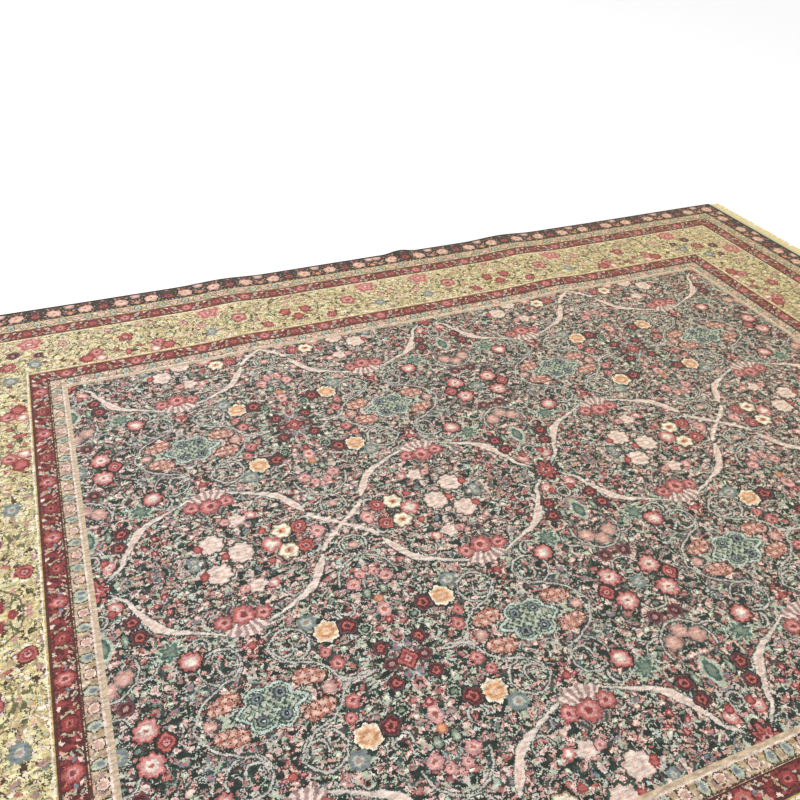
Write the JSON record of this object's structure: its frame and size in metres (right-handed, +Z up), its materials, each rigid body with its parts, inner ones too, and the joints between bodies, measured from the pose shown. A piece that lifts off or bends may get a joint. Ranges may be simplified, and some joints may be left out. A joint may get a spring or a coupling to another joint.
{
  "type": "wool rug",
  "caption": "Large rectangular hand-knotted wool rug lying flat, with a woven floral field, layered borders, overcast long edges and short fringe at both ends.",
  "frame": {"origin": "Middle of the rug's rectangle, on the floor that it lies on.", "axes": "+X runs along the rug from one fringed end to the other, +Y runs across it, and +Z points up out of the pile."},
  "size_m": [3.1806, 2.44, 0.0183],
  "materials": {
    "wool_pile": "short dense wool pile, patterned, matt with a faint sheen",
    "edge_wool": "dark wool yarn wrapped over the edge warps",
    "warp_cotton": "undyed yellowed cotton, flat woven and left as fringe"
  },
  "bodies": {
    "root": {"rug_pile": "wool_pile", "edge_cord_far": "edge_wool", "edge_cord_near": "edge_wool", "fringe_right": "warp_cotton", "fringe_left": "warp_cotton"}
  },
  "joints": []
}
